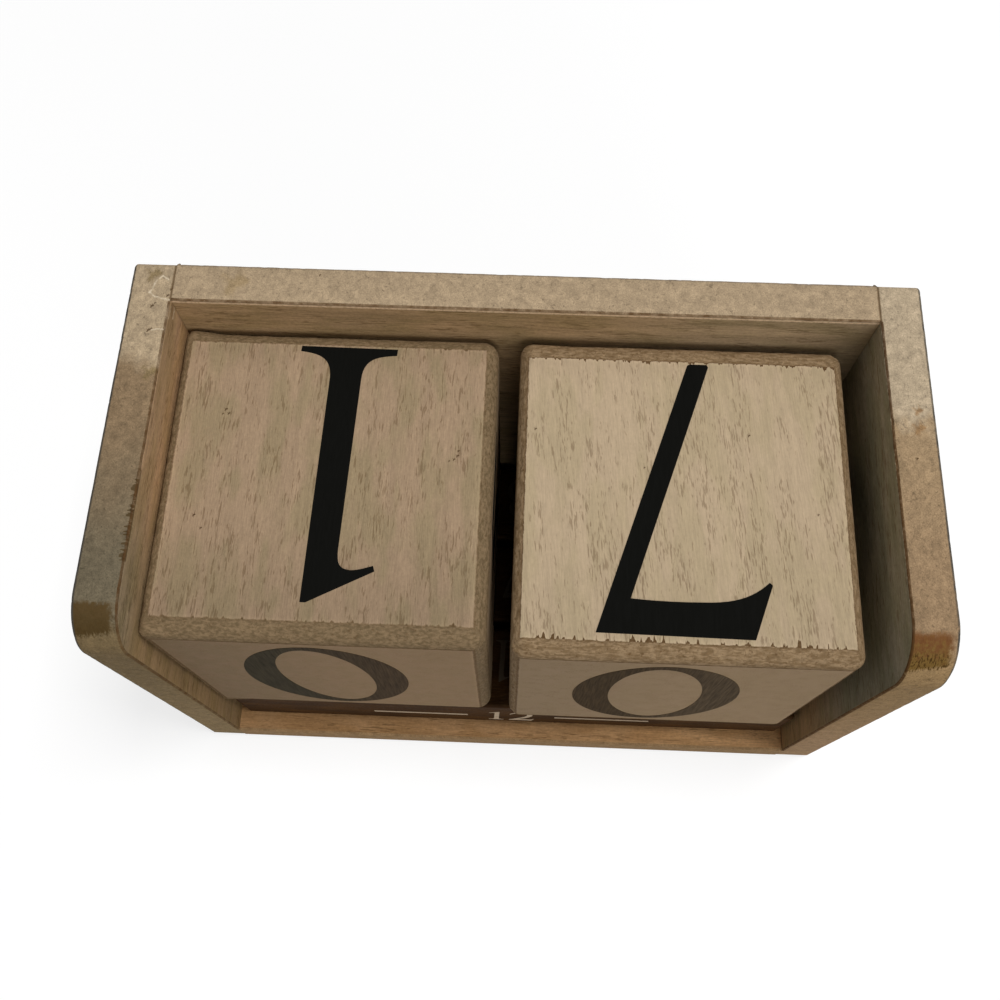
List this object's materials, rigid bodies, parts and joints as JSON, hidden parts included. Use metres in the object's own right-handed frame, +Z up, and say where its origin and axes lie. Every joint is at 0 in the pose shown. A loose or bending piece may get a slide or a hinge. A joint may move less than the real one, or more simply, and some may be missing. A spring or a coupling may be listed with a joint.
{
  "type": "perpetual desk calendar",
  "caption": "Open-fronted wooden tray holding two lift-out number cubes that stand on square month bars, for showing the date on a desk.",
  "frame": {"origin": "middle of the tray's footprint, on the surface it stands on", "axes": "+X to the right as the date is read, +Y to the back board, +Z up"},
  "size_m": [0.12, 0.0596, 0.079],
  "materials": {
    "tray_wood": "satin stain, sanded edges",
    "tens_cube_wood": "thin matt wash, sanded edges",
    "units_cube_wood": "thin matt wash, sanded edges",
    "month_bar_wood": "dark matt stain",
    "black_print": "matt printed ink",
    "cream_print": "matt printed ink",
    "brad_steel": "dull"
  },
  "bodies": {
    "tray": {"left_side_board": "tray_wood", "right_side_board": "tray_wood", "back_board": "tray_wood", "base_board": "tray_wood", "left_side_brads": "brad_steel", "right_side_brads": "brad_steel", "back_brads": "brad_steel"},
    "tens_cube": {"tens_cube": "tens_cube_wood", "tens_cube_numerals": "black_print"},
    "units_cube": {"units_cube": "units_cube_wood", "units_cube_numerals": "black_print"},
    "month_bar_back": {"month_bar_back": "month_bar_wood", "month_bar_back_numerals": "cream_print"},
    "month_bar_middle": {"month_bar_middle": "month_bar_wood", "month_bar_middle_numerals": "cream_print"},
    "month_bar_front": {"month_bar_front": "month_bar_wood", "month_bar_front_numerals": "cream_print"}
  },
  "joints": [
    {"name": "tens_cube_lift", "type": "slide", "parent": "tray", "child": "tens_cube", "axis": [0, 0, 1], "range_m": [0, 0.065]},
    {"name": "units_cube_lift", "type": "slide", "parent": "tray", "child": "units_cube", "axis": [0, 0, 1], "range_m": [0, 0.065]},
    {"name": "month_bar_back_push", "type": "slide", "parent": "tray", "child": "month_bar_back", "axis": [0, -1, 0], "range_m": [0, 0.055]},
    {"name": "month_bar_middle_push", "type": "slide", "parent": "month_bar_back", "child": "month_bar_middle", "axis": [0, -1, 0], "range_m": [0, 0.04]},
    {"name": "month_bar_front_push", "type": "slide", "parent": "month_bar_middle", "child": "month_bar_front", "axis": [0, -1, 0], "range_m": [0, 0.025]}
  ]
}
